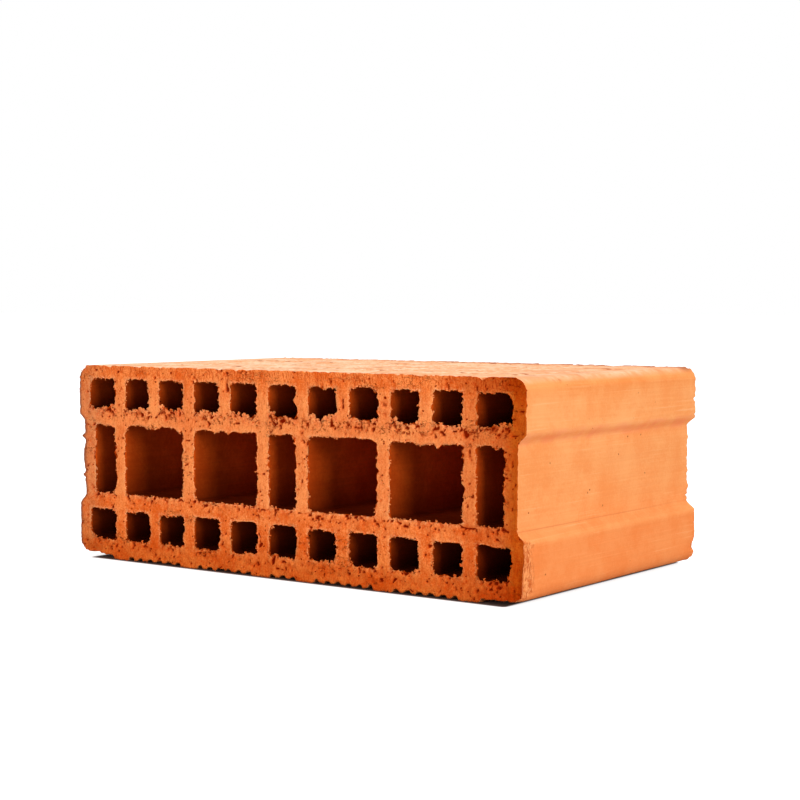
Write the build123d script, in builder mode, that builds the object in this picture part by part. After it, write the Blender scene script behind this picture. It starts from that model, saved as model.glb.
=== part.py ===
from build123d import *
import os

# A hollow clay brick for a thin partition wall, extruded, cut off with a wire and fired as one piece.
# X runs along the brick, Y is the way the clay left the die, and Z is the thickness of the wall.
# The origin is on the floor under the middle of the brick as it lies, and all sizes are in millimetres.

# Overall size
brick_length = 330.0
course_height = 192.0
wall_thickness = 120.0
corner_radius = 8.0

# Shells round the outside, and webs between the cells
end_shell = 9.1
bottom_shell = 9.6
top_shell = 8.0
recess_shell = 8.6
upright_web = 8.8
level_web = 8.9

# Cells: three rows, where each cell of the middle row is as wide as one or two columns of the other rows
middle_cell_column_counts = (1, 2, 2, 1, 2, 2, 1)
end_cell_width = 22.4
middle_row_height = 43.6
cell_corner_radius = 3.0
outermost_cell_radius = 6.5

# Mortar recess along the middle of each end
recess_depth = 5.4
recess_floor_height = 45.4
recess_flank_height = 6.2
recess_edge_radius = 2.5

# Smooth lands and combed ribs, which run the way the clay left the die
land_width = 15.0
land_height = 2.2
inner_land_shift = 2.0
rib_width = 5.0
rib_pitch = 7.4
rib_height = 1.5
groove_depth = 0.8
margin_groove_depth = 1.4
flank_angle = 60.0


# Columns of the cells, as pairs of left and right sides

column_count = sum(middle_cell_column_counts)
columns_between_ends = column_count - 2
inner_cell_width = (
    brick_length - 2 * end_shell - 2 * end_cell_width - (column_count - 1) * upright_web
) / columns_between_ends

columns = []
left = end_shell - brick_length / 2
for number in range(column_count):
    is_end = number in (0, column_count - 1)
    width = end_cell_width if is_end else inner_cell_width
    columns.append((left, left + width))
    left += width + upright_web


# Rows of the cells, as pairs of lower and upper sides

body_height = wall_thickness - land_height
low_row_bottom = land_height + bottom_shell
small_row_height = (
    body_height - bottom_shell - top_shell - middle_row_height - 2 * level_web
) / 2
low_row = (low_row_bottom, low_row_bottom + small_row_height)
middle_row = (low_row[1] + level_web, low_row[1] + level_web + middle_row_height)
high_row = (middle_row[1] + level_web, middle_row[1] + level_web + small_row_height)
middle_of_rows = (middle_row[0] + middle_row[1]) / 2


# The middle row, where each end cell stands back behind the mortar recess

recess_cell_side = brick_length / 2 - recess_depth - recess_shell
middle_cells = []
first = 0
for count in middle_cell_column_counts:
    last = first + count - 1
    middle_cells.append(
        (max(columns[first][0], -recess_cell_side), min(columns[last][1], recess_cell_side))
    )
    first = last + 1


# Lands lie under the upright webs that run through all three rows, and ribs fill the gaps between them

through_webs = [cell_right + upright_web / 2 for cell_left, cell_right in middle_cells[:-1]]
innermost_web = min(abs(web) for web in through_webs)
lands = [
    web + (inner_land_shift if web > 0 else -inner_land_shift)
    if abs(web) < innermost_web + upright_web / 2
    else web
    for web in through_webs
]

ribs = []
grooves = []
for land, next_land in zip(lands, lands[1:]):
    gap = next_land - land - land_width
    rib_count = int(gap // rib_pitch)
    space = (gap - rib_count * rib_width) / (rib_count + 1)
    gap_start = land + land_width / 2
    for number in range(rib_count + 1):
        groove = gap_start + space / 2 + number * (space + rib_width)
        grooves.append((groove, space, groove_depth))
        if number < rib_count:
            ribs.append(groove + (space + rib_width) / 2)

# One deeper groove parts each outer land from the smooth margin beside it
margin_groove = lands[-1] + land_width / 2 + rib_width / 2
grooves += [(place, rib_width, margin_groove_depth) for place in (-margin_groove, margin_groove)]


def add_cells(cells, row, radius):
    """Draws one row of cells, each with rounded corners."""
    for cell_left, cell_right in cells:
        with Locations(((cell_left + cell_right) / 2, (row[0] + row[1]) / 2)):
            RectangleRounded(cell_right - cell_left, row[1] - row[0], radius)


# Outline of the brick's section, with a recess at each end, lands and ribs below and grooves above

back_cut_face = Plane.XZ.offset(-course_height / 2)

with BuildSketch(back_cut_face) as outline:
    with Locations((0, land_height + body_height / 2)):
        RectangleRounded(brick_length, body_height, corner_radius)
    half_floor = recess_floor_height / 2
    half_mouth = half_floor + recess_flank_height
    for end in (-brick_length / 2, brick_length / 2):
        floor = end - recess_depth if end > 0 else end + recess_depth
        with BuildLine():
            Polyline(
                (end, middle_of_rows + half_mouth),
                (floor, middle_of_rows + half_floor),
                (floor, middle_of_rows - half_floor),
                (end, middle_of_rows - half_mouth),
                close=True,
            )
        make_face(mode=Mode.SUBTRACT)
    recess_corners = [
        corner
        for corner in outline.vertices()
        if abs(corner.Y - middle_of_rows) < half_mouth + recess_edge_radius / 10
    ]
    fillet(recess_corners, recess_edge_radius)
    for land in lands:
        with Locations((land, land_height)):
            Trapezoid(land_width, land_height, flank_angle, rotation=180, align=(Align.CENTER, Align.MIN))
    for rib in ribs:
        with Locations((rib, land_height)):
            Trapezoid(rib_width, rib_height, flank_angle, rotation=180, align=(Align.CENTER, Align.MIN))
    for groove, groove_width, depth in grooves:
        with Locations((groove, wall_thickness)):
            Trapezoid(
                groove_width,
                depth,
                flank_angle,
                rotation=180,
                align=(Align.CENTER, Align.MIN),
                mode=Mode.SUBTRACT,
            )


# The cells, which the die's cores leave open from one cut face to the other

with BuildSketch(back_cut_face) as cells:
    add_cells(columns, low_row, cell_corner_radius)
    add_cells(middle_cells, middle_row, cell_corner_radius)
    add_cells(columns, high_row, cell_corner_radius)
    with Locations((0, middle_of_rows)):
        RectangleRounded(
            brick_length - 2 * end_shell,
            high_row[1] - low_row[0],
            outermost_cell_radius,
            mode=Mode.INTERSECT,
        )


# The brick itself: the outline and the cells in one section, drawn out along the brick's height in the wall

with BuildPart() as hollow_brick:
    with BuildSketch(back_cut_face):
        add(outline.sketch)
        add(cells.sketch, mode=Mode.SUBTRACT)
    extrude(amount=course_height)

hollow_brick.part.label = "hollow_brick"

os.makedirs("parts", exist_ok=True)
export_step(hollow_brick.part, "parts/hollow_brick.step")
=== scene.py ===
# %% [markdown]
# A hollow clay brick, lying on its side as in the photo. A die gave it smooth skins, combed ribs and open
# cells, and a wire cut the strand off at both ends and left crumbs and tears. The section is the CAD brick's,
# and the cut faces, the mouths of the cells and the edges are as rough as they really are.

# %% The frame and the CAD box
import math
import random

import bmesh
import bpy
from mathutils import Matrix, Vector, noise


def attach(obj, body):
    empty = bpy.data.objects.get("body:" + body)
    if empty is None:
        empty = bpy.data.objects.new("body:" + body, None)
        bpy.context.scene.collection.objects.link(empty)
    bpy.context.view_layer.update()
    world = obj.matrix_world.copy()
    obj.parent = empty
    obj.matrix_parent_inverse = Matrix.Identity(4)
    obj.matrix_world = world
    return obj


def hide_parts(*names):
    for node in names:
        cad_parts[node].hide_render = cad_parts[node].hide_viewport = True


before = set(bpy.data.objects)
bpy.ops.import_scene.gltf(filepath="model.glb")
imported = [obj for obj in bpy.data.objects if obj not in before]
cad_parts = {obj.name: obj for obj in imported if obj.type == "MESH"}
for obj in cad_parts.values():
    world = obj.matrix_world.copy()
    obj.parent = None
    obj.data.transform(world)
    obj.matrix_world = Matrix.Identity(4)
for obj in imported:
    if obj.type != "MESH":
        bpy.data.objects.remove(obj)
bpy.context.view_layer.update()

# %% [markdown]
# The brick is made in millimetres and brought to metres at the end. These are the CAD model's own sizes.
# Three rows of cells share eleven columns, and the wide cells of the middle row take two columns each.

# %% Sizes of the section, in millimetres
MM = 0.001
HALF_LENGTH, HALF_COURSE, WALL = 165.0, 96.0, 120.0
CORNER_RADIUS = 8.0
END_SHELL, UPRIGHT_WEB, END_CELL_WIDTH = 9.1, 8.8, 22.4
LAND_HEIGHT = 2.2
MIDDLE_CELL_COLUMNS = (1, 2, 2, 1, 2, 2, 1)
COLUMN_COUNT = sum(MIDDLE_CELL_COLUMNS)
ROWS = {"low": (11.8, 31.2), "middle": (40.1, 83.7), "high": (92.6, 112.0)}
CELL_RADIUS, OUTERMOST_RADIUS = 3.0, 6.5
RECESS_DEPTH, CELL_SETBACK = 5.4, 4.9
RECESS_MIDDLE, RECESS_HALF_FLOOR, RECESS_FLANK = 61.9, 22.7, 6.2

inner_width = (
    2 * (HALF_LENGTH - END_SHELL - END_CELL_WIDTH) - (COLUMN_COUNT - 1) * UPRIGHT_WEB
) / (COLUMN_COUNT - 2)
columns = []
left = END_SHELL - HALF_LENGTH
for number in range(COLUMN_COUNT):
    width = END_CELL_WIDTH if number in (0, COLUMN_COUNT - 1) else inner_width
    columns.append((left, left + width))
    left += width + UPRIGHT_WEB

cells = []
for row in ("low", "high"):
    cells += [(left, right, *ROWS[row], row) for left, right in columns]
first = 0
for count in MIDDLE_CELL_COLUMNS:
    cells.append((columns[first][0], columns[first + count - 1][1], *ROWS["middle"], "middle"))
    first += count
print(len(cells), "cells, the small ones", round(inner_width, 2), "mm wide")

# %% [markdown]
# Smooth lands lie over the upright webs that run through all three rows, and combed ribs fill the gaps. Two
# functions give the underside's drop below its base and the upper side's cut below its lands.

# %% Lands and ribs
LAND_WIDTH, RIB_WIDTH, RIB_PITCH, INNER_LAND_SHIFT = 15.0, 5.0, 7.4, 2.0
RIB_DROP, RIB_CUT, GROOVE_CUT, MARGIN_GROOVE, MARGIN_CUT = 1.5, 0.15, 0.8, 1.5, 0.2
RIB_SPREAD, RIB_FLANK, LAND_FLANK, TOP_LAND_FLANK = 0.4, 1.5, 1.3, 0.9
MARGIN_HALF, MARGIN_FLANK = 2.6, 2.0
INNER_WEBS = 20.0

middle_cells = [cell for cell in cells if cell[4] == "middle"]
webs = [cell[1] + UPRIGHT_WEB / 2 for cell in middle_cells[:-1]]
lands = [web + math.copysign(INNER_LAND_SHIFT, web) if abs(web) < INNER_WEBS else web for web in webs]
ribs = []
for land, next_land in zip(lands, lands[1:]):
    gap = next_land - land - LAND_WIDTH
    rib_count = int(gap // RIB_PITCH)
    space = (gap - rib_count * RIB_WIDTH) / (rib_count + 1)
    start = land + LAND_WIDTH / 2 + space + RIB_WIDTH / 2
    ribs += [start + number * (space + RIB_WIDTH) for number in range(rib_count)]
print(len(lands), "lands and", len(ribs), "ribs on each wide face")


def ramp(value, low, high):
    """0 below low, 1 above high, and a smooth rise between them."""
    share = min(1.0, max(0.0, (value - low) / (high - low)))
    return share * share * (3 - 2 * share)


def band(value, middle, half_width, flank):
    """1 within half_width of the middle, falling to 0 over the flank outside it."""
    return 1.0 - ramp(abs(value - middle), half_width - flank, half_width)


def on_any(x, places, width, flank):
    """1 on each of the lands or ribs at these places, falling to 0 over their flanks."""
    return max(band(x, place, width / 2, flank) for place in places)


def underside_drop(x):
    """How far the underside reaches below its base: the lands to the floor, the ribs less."""
    land = on_any(x, lands, LAND_WIDTH, LAND_FLANK)
    return max(land * LAND_HEIGHT, on_any(x, ribs, RIB_WIDTH + RIB_SPREAD, RIB_FLANK) * RIB_DROP)


def upper_cut(x):
    """How far the upper side is cut below its lands: grooves, worn ribs and the end margins."""
    if abs(x) > lands[-1] + LAND_WIDTH / 2:
        middle = lands[-1] + LAND_WIDTH / 2 + MARGIN_HALF
        groove = band(abs(x), middle, MARGIN_HALF, MARGIN_FLANK)
        return MARGIN_CUT + groove * (MARGIN_GROOVE - MARGIN_CUT)
    land = on_any(x, lands, LAND_WIDTH, TOP_LAND_FLANK)
    rib = on_any(x, ribs, RIB_WIDTH + RIB_SPREAD, RIB_FLANK)
    return (1 - land) * (GROOVE_CUT - rib * (GROOVE_CUT - RIB_CUT))


# %% [markdown]
# The section starts as a plain grid whose lines run along the sides of the cells. These functions move a
# point of it to its place in the real section: round the corners of the brick and the cells, out to the lands
# and ribs, and in behind the mortar recesses.

# %% From the plain grid to the section
CORNER_ZONE = 8.0
# Two stretches of worn cores: the middle and half the length, and how far they stood off
LEFT_CORES, RIGHT_CORES = (-88, 72), (52, 38)
LEFT_OFF, RIGHT_OFF, HIGH_OFF = -1.1, 0.4, 0.7


def round_corner(along, across, radius):
    """Moves a point on a cell's side near its corner onto the corner's arc. One distance is always 0."""
    if along >= radius or across >= radius:
        return along, across
    angle = math.radians(45 + 45 * along / radius - 45 * across / radius)
    return radius * (1 - math.cos(angle)), radius * (1 - math.sin(angle))


def recess_shift(x, z):
    """How far a point at the end moves in, for the recess outside and the cell that stands back inside."""
    in_recess = band(z, RECESS_MIDDLE, RECESS_HALF_FLOOR + RECESS_FLANK, RECESS_FLANK)
    outside, inside = RECESS_DEPTH * in_recess, CELL_SETBACK * in_recess
    cell_outer, cell_inner = HALF_LENGTH - END_SHELL, HALF_LENGTH - END_SHELL - END_CELL_WIDTH
    if abs(x) >= cell_outer:
        share = (abs(x) - cell_outer) / END_SHELL
        return inside + (outside - inside) * share
    return inside * max(0.0, (abs(x) - cell_inner) / END_CELL_WIDTH)


def die_shift(x, z):
    """How far the die's worn cores stood off their places along the brick."""
    right_off = RIGHT_OFF + HIGH_OFF * ramp(z, 84, 92)
    left, right = (math.exp(-((x - middle) / half) ** 4) for middle, half in (LEFT_CORES, RIGHT_CORES))
    return LEFT_OFF * left + right_off * right


def in_section(x, z, cell):
    """The place in the real section of a point of the plain grid. cell is the one whose side it is on."""
    new_x, new_z = x, z
    base = LAND_HEIGHT
    if cell:
        left, right, low, high, row = cell
        from_side, from_level = min(x - left, right - x), min(z - low, high - z)
        outermost = row != "middle" and abs(x) > HALF_LENGTH - END_SHELL - END_CELL_WIDTH / 2 and (
            z < ROWS["low"][0] + CORNER_ZONE or z > ROWS["high"][1] - CORNER_ZONE
        )
        radius = OUTERMOST_RADIUS if outermost else CELL_RADIUS
        a, b = round_corner(from_side, from_level, radius)
        new_x = left + a if x - left < right - x else right - a
        new_z = low + b if z - low < high - z else high - b
    else:
        u = (abs(x) - (HALF_LENGTH - CORNER_RADIUS)) / CORNER_RADIUS
        below = z < WALL / 2
        v = ((base + CORNER_RADIUS) - z if below else z - (WALL - CORNER_RADIUS)) / CORNER_RADIUS
        if u > 0 and v > 0:
            new_x = math.copysign(HALF_LENGTH - CORNER_RADIUS * (1 - u * math.sqrt(1 - v * v / 2)), x)
            inset = CORNER_RADIUS * (1 - v * math.sqrt(1 - u * u / 2))
            new_z = base + inset if below else WALL - inset
    if z < ROWS["low"][0]:
        new_z -= underside_drop(x) * (ROWS["low"][0] - z) / (ROWS["low"][0] - base)
    if z > ROWS["high"][1]:
        new_z -= upper_cut(x) * (z - ROWS["high"][1]) / (WALL - ROWS["high"][1])
    new_x += die_shift(x, z) - math.copysign(recess_shift(x, z), x)
    return new_x, new_z


# %% [markdown]
# The grid's squares inside the cells are deleted, the sheet is extruded to the far cut face, and the long
# edges are divided into rings, which crowd together near the cut faces, where the wire tore the clay.

# %% The plain body
GRID_STEP = 1.05
RING_DEPTHS = (0.0, 0.9, 2.0, 3.5, 6.0, 11.0)
MIDDLE_RINGS, MIDDLE_REACH = 6, 74.0
TOUCH, ON_RIM, SLIGHT = 1e-3, 1e-4, 0.01


def spaced_lines(keys, step):
    """Lines from the first key to the last: every key is one, and the gaps between are near the step."""
    lines = []
    for low, high in zip(keys, keys[1:]):
        parts = max(1, round((high - low) / step))
        lines += [low + (high - low) * part / parts for part in range(parts)]
    return lines + [keys[-1]]


x_keys = [-HALF_LENGTH] + [side for column in columns for side in column] + [HALF_LENGTH]
z_keys = [LAND_HEIGHT] + [level for row in ("low", "middle", "high") for level in ROWS[row]] + [WALL]
x_lines = spaced_lines(x_keys, GRID_STEP)
z_lines = spaced_lines(z_keys, GRID_STEP)
rings = [-HALF_COURSE + depth for depth in RING_DEPTHS]
rings += [MIDDLE_REACH * (2 * n / (MIDDLE_RINGS - 1) - 1) for n in range(MIDDLE_RINGS)]
rings += [HALF_COURSE - depth for depth in reversed(RING_DEPTHS)]

bm = bmesh.new()
bmesh.ops.create_grid(bm, x_segments=len(x_lines) - 1, y_segments=len(z_lines) - 1, size=1.0)
for vert in bm.verts:
    column = round((vert.co.x + 1) / 2 * (len(x_lines) - 1))
    level = round((vert.co.y + 1) / 2 * (len(z_lines) - 1))
    vert.co = (x_lines[column], -HALF_COURSE, z_lines[level])


def cell_at(x, z):
    """The cell that holds this point, or None."""
    for cell in cells:
        left, right, low, high, _ = cell
        if left - TOUCH <= x <= right + TOUCH and low - TOUCH <= z <= high + TOUCH:
            return cell
    return None


inside = [face for face in bm.faces if cell_at(face.calc_center_median().x, face.calc_center_median().z)]
bmesh.ops.delete(bm, geom=inside, context="FACES")
drawn = bmesh.ops.extrude_face_region(bm, geom=bm.faces[:])["geom"]
far_verts = [item for item in drawn if isinstance(item, bmesh.types.BMVert)]
bmesh.ops.translate(bm, vec=(0, 2 * HALF_COURSE, 0), verts=far_verts)
long_edges = [edge for edge in bm.edges if abs(edge.verts[0].co.y - edge.verts[1].co.y) > 1]
bmesh.ops.subdivide_edges(bm, edges=long_edges, cuts=len(rings) - 2, use_grid_fill=True)
for vert in bm.verts:
    vert.co.y = rings[round((vert.co.y + HALF_COURSE) / (2 * HALF_COURSE) * (len(rings) - 1))]
bmesh.ops.recalc_face_normals(bm, faces=bm.faces[:])
loose = [edge for edge in bm.edges if len(edge.link_faces) != 2]
print(len(bm.faces), "squares,", len(loose), "open edges")

# %% [markdown]
# Each square is part of the cut face, the outer skin or a cell's wall. They are sorted now, while the grid is
# still plain, because each has a finish of its own.

# %% Which surface each face belongs to
CUT, SKIN, WALL_OF_CELL = 0, 1, 2
for face in bm.faces:
    face.smooth = True
    centre = face.calc_center_median()
    if abs(centre.y) > HALF_COURSE - SLIGHT:
        face.material_index = CUT
    elif abs(centre.x) > HALF_LENGTH - SLIGHT or not LAND_HEIGHT + SLIGHT < centre.z < WALL - SLIGHT:
        face.material_index = SKIN
    else:
        face.material_index = WALL_OF_CELL
for number, name in enumerate(("cut face", "skin", "cell wall")):
    print(name, sum(1 for face in bm.faces if face.material_index == number), "faces")

# %% [markdown]
# The wire drags wet clay over the mouths of the cells. It hangs from their upper sides in soft scallops,
# piles up as crumbs on their lower sides, and tears small bites out of the right-hand ones.

# %% How the wire leaves each side of a mouth
UP, DOWN, LEFT, RIGHT = range(4)
# Each row's four sides: how jagged, how lumpy, how far clay hangs in and how much narrower the mouth is
HABITS = {
    "high": ((0.70, 0.55, 0.5, 0.20), (0.95, 0.85, 0, 0.35), (0.80, 0.40, 0, 0.05), (1.00, 0.60, 0, 0.10)),
    "middle": ((0.16, 0.30, 0.9, 0.10), (0.45, 0.20, 0, 0.60), (0.80, 0.30, 0, -0.10), (1.00, 0.55, 0, 0.10)),
    "low": ((0.22, 0.30, 0.6, 0.10), (0.95, 0.65, 0, 0.30), (0.85, 0.40, 0, 0.05), (1.05, 0.60, 0, 0.05)),
}

# Where the photo shows a lip hanging in or a bite torn out: x, z, reach along the side and how far in
LIPS = (
    (-102, 83.7, 5, 1.8), (-124, 83, 3, 2.2), (-79.5, 83.7, 2.5, 2.2), (-66, 83.7, 4, 1.3),
    (-50, 83.7, 2.2, 1.4), (-40.5, 83.7, 2.5, 1.9), (9.5, 83, 3, 1.8), (37, 83.7, 1.2, 0.8),
    (66, 82.5, 1.8, 2), (98, 83.7, 3.5, 1.7), (108.5, 83.7, 1.8, 2.8), (-136.5, 83.7, 3, 1.5),
    (150, 82.5, 3, 1.8), (84, 83.7, 6, 0.9), (-133.5, 51, 6, -1.8), (-134.5, 43, 3, 1.2), (-76, 75, 4, 0.8),
    (-76, 66, 3, 0.6), (-78, 42.5, 2.5, 1.8), (124.7, 64, 2.5, 0.9), (124.7, 59.5, 1.4, -1.6),
    (124.7, 69, 2.5, -0.6), (151, 47, 2.2, 1.8), (151, 80, 1.5, -1.2), (67.3, 44, 2, 1.2),
    (-104.8, 98, 4, -0.9), (-38.6, 105, 3, 0.6), (-39, 97, 2, -0.8), (9.9, 102.5, 1.8, 1.8),
    (10.5, 96.5, 3, -1.5), (38.6, 99, 3, -1.3), (38.6, 108, 3, 0.6), (30, 112, 3, 1.3), (67, 111.5, 2, 1.8),
    (90, 112, 2, 1.1), (139, 112, 2, 1), (133.5, 98, 2, 2), (133.5, 95, 1.4, -1.5),
    (-138, 92.6, 4, 1.6), (-114, 92.6, 5, 1.1), (-94, 92.6, 4, 2.9), (-88, 92.6, 4, 1.5),
    (-57, 92.6, 4, 0.8), (-37.5, 93, 2, 1.5), (-8.5, 92.6, 3, 2.8), (22, 92.6, 2.5, 1.2),
    (36, 92.6, 4, 2.3), (50, 92.6, 2.5, 2), (65, 92.6, 3, 0.8), (78, 92.6, 3, 2.4), (110, 92.6, 5, 1.5),
    (148, 92.6, 6, 1.3), (-119, 31.2, 4.5, 1.6), (-104.8, 21, 4, -0.9), (-106, 30.5, 2, 1.2),
    (-88, 31.2, 6, 1), (-48, 22.5, 1.5, -1.5), (-47.5, 15.5, 1.5, 1.2), (10, 23, 4, -1.2),
    (-9, 31, 3, 1.5), (-4, 11.8, 3, 1.4), (21, 31, 3, 1.2), (36.5, 31, 3, 1.2), (21, 12.5, 3, 1.5),
    (37, 12.5, 3, 1.8), (49, 12.5, 2.5, 1.4), (48, 27, 2, 1), (93, 31.2, 4, 1), (120, 31.2, 4, 0.6),
    (104.8, 27, 1.5, 1.4), (124.7, 19, 1.5, 1.3), (105.5, 12.5, 2.5, 1.3), (147, 31.2, 5, 0.8),
    (155, 15, 2.5, 1.5), (-25, 11.8, 3, 1.6),
)

# Each kind of roughness: the size of its features, its strength and a start of its own
ROUGHNESS = {
    "jag": (1.7, 1.6, 0), "lump": (4.5, 1.6, 7), "scallop": (9, 2, 13), "crumbly": (11, 0.9, 31),
    "swell": (22, 0.4, 3), "wave": (6, 0.3, 5), "clod": (2.6, 1.3, 17), "crumb": (1.5, 1.2, 19),
    "comb": (7, 0.3, 23), "pit": (2.1, 1, 41), "wander": (2, 0.5, 43), "broken": (1.4, 1, 45),
    "edge": (2.2, 0.6, 51), "edge wave": (6, 0.4, 53), "chip": (3.1, 1, 57), "line": (1.6, 0.10, 0),
    "roll": (1.5, 0.35, 0),
}


def nearest_rim(x, z):
    """The nearest cell, the way to it, the distance, and the point on its side, on the plain grid."""
    found = []
    for cell in cells:
        rim_x, rim_z = min(max(x, cell[0]), cell[1]), min(max(z, cell[2]), cell[3])
        found.append((math.hypot(x - rim_x, z - rim_z), rim_x, rim_z, cell))
    distance, rim_x, rim_z, cell = min(found, key=lambda entry: entry[0])
    if distance > ON_RIM:
        way = ((rim_x - x) / distance, (rim_z - z) / distance)
    else:
        way_x = (abs(x - cell[0]) < TOUCH) - (abs(x - cell[1]) < TOUCH)
        way_z = (abs(z - cell[2]) < TOUCH) - (abs(z - cell[3]) < TOUCH)
        length = math.hypot(way_x, way_z) or 1.0
        way = (way_x / length, way_z / length)
    return cell, way, distance, (rim_x, rim_z)


def rough(x, z, kind, seed):
    """One kind of roughness at this point: smooth random values either side of 0."""
    size, strength, start = ROUGHNESS[kind]
    return strength * noise.noise(Vector((x / size, z / size, seed + start)))


def fall(distance, reach):
    """1 at no distance, falling softly to almost 0 at twice the reach."""
    return math.exp(-(distance / reach) ** 2)


def with_spots(value, x, z, spots):
    """Adds to a value what each soft spot on a list does at this point."""
    for spot_x, spot_z, length, depth in spots:
        if abs(x - spot_x) < 3 * length and abs(z - spot_z) < 3 * length:
            value += depth * math.exp(-((x - spot_x) ** 2 + (z - spot_z) ** 2) / (length * length))
    return value


def lip(cell, way, rim, seed, lips):
    """How far the clay at this point of a mouth's rim hangs into the cell."""
    x, z = rim
    if abs(way[0]) > abs(way[1]):
        side = LEFT if way[0] > 0 else RIGHT
    else:
        side = DOWN if way[1] > 0 else UP
    jagged, lumpy, hanging, narrower = HABITS[cell[4]][side]
    reach = narrower + jagged * rough(x, z, "jag", seed) + lumpy * rough(x, z, "lump", seed)
    return with_spots(reach + hanging * max(0.0, rough(x, z, "scallop", seed)), x, z, lips)


# %% [markdown]
# Below each mouth the wire has rolled up crumbs, it has combed the webs, and grit has left pits. A list gives
# the cracks and larger pits that the photo shows, and noise gives the rest. The colour follows the holes.

# %% Relief of the cut faces
# start x and z, end x and z, half width, depth, in millimetres
CRACKS = (
    (-41.5, 117.5, -41.5, 107.5, 1.3, 3.4), (-97.5, 90.2, -92, 90.8, 0.9, 1.6),
    (-92, 90.8, -87.5, 90.2, 0.8, 1.5), (-91, 89.5, -90.5, 87.5, 0.6, 1.2),
    (-140, 90.6, -135, 89.6, 0.7, 1.4), (-117, 91.2, -109.5, 90.4, 0.7, 1.3),
    (-57.5, 89, -55.5, 87.8, 0.8, 1.4), (-35, 88.5, -33, 87.8, 0.7, 1.2),
    (35.5, 91.2, 37.5, 87.8, 0.8, 1.6), (53, 89.2, 58, 88.2, 0.8, 1.6), (77.2, 91.5, 79, 90.5, 1.1, 2.2),
    (104, 88, 107, 91, 0.7, 1.4), (107, 91, 112, 88.8, 0.7, 1.5), (113.8, 118, 115.5, 113.5, 0.7, 1.8),
    (145, 90.2, 149, 88.6, 0.8, 1.6), (149.5, 90.3, 160, 89.5, 0.5, 1.1), (12, 38.9, 21, 38.5, 0.45, 1.2),
    (26, 38.3, 29, 36.8, 0.5, 1), (55, 38.8, 59.5, 37.9, 0.6, 1.4), (65, 37.6, 68.5, 36.4, 0.8, 1.8),
    (71, 38.6, 76, 38.9, 0.5, 1.4), (72, 36.5, 73, 34, 0.5, 1.1), (122.5, 39.6, 126, 38.4, 0.6, 1.6),
    (126, 38.4, 132, 38.8, 0.6, 1.8), (151.5, 38.8, 158.5, 39.1, 0.6, 1.6),
    (-80, 39.3, -70, 38.4, 0.4, 0.9), (-104, 37.4, -99.5, 37, 0.6, 1.2), (-20, 39.2, -11, 38.6, 0.4, 0.9),
    (2.5, 9.5, 2.5, 6, 0.5, 1.1), (30.5, 9.5, 30.5, 4.5, 0.45, 1.1), (47.5, 9.5, 47.8, 4, 0.6, 1.5),
    (43, 104.8, 43, 100.2, 0.9, 1.6), (13.5, 86.8, 14.2, 84, 0.7, 1.3), (14.5, 58.5, 14.3, 55.5, 0.7, 1.2),
    (-72.5, 63, -74, 61.5, 0.9, 1.6), (129, 81, 129.8, 75.8, 0.6, 1.3), (156, 66.9, 159.5, 66.4, 0.6, 1.4),
    (155.5, 61.2, 158, 60.2, 0.6, 1.3), (102, 27.6, 103.5, 27.2, 0.7, 1.4), (101, 23.4, 103, 23, 0.7, 1.2),
    (-17.5, 25, -16.5, 17, 0.5, 1), (-45.5, 16.5, -43, 13.5, 0.6, 1.1),
    (-118.5, 36, -117, 34.6, 0.8, 1.4), (-131.5, 75, -130.5, 74.4, 0.8, 1.3),
    (-157.5, 66, -156.5, 62, 0.7, 1.2), (145, 8.8, 147, 8.2, 0.8, 1.4), (-5, 6.8, -3, 6.2, 0.8, 1.4),
    (-68, 5.6, -67, 5, 0.8, 1.1), (-152, 112.5, -151, 109, 0.4, 0.6), (70.3, 14.6, 70, 12.8, 0.5, 1),
    (-86, 6.5, -84.5, 6, 0.9, 1), (66.5, 30, 68, 28, 0.5, 0.9), (12.5, 66.8, 11, 66.6, 0.8, 1.4),
    (17.6, 79.6, 17.4, 78.6, 0.8, 1.4), (17.6, 72.4, 17.8, 71.2, 0.8, 1.4),
    (131.6, 57, 130.5, 55.5, 0.6, 1.2), (127.5, 52, 128.5, 50, 0.6, 1.2),
)

# How crumbly the clay is, and how far that reaches below a mouth
LEAST_CRUMBLY, MOST_CRUMBLY, CRUMBLY_REACH = 0.22, 1.1, 3.8
MEAN_DEPTH, COMB_STRETCH, LOW_HOLES = 0.65, 6, 0.55
PITS_IN_CRUMBS, PIT_LEVEL, CRACK_REACH = 0.32, 0.55, 14


def from_line(x, z, start_x, start_z, end_x, end_z):
    """Distance from a point to a short line."""
    run_x, run_z = end_x - start_x, end_z - start_z
    share = ((x - start_x) * run_x + (z - start_z) * run_z) / (run_x * run_x + run_z * run_z or 1.0)
    share = min(1.0, max(0.0, share))
    return math.hypot(x - start_x - share * run_x, z - start_z - share * run_z)


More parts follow.
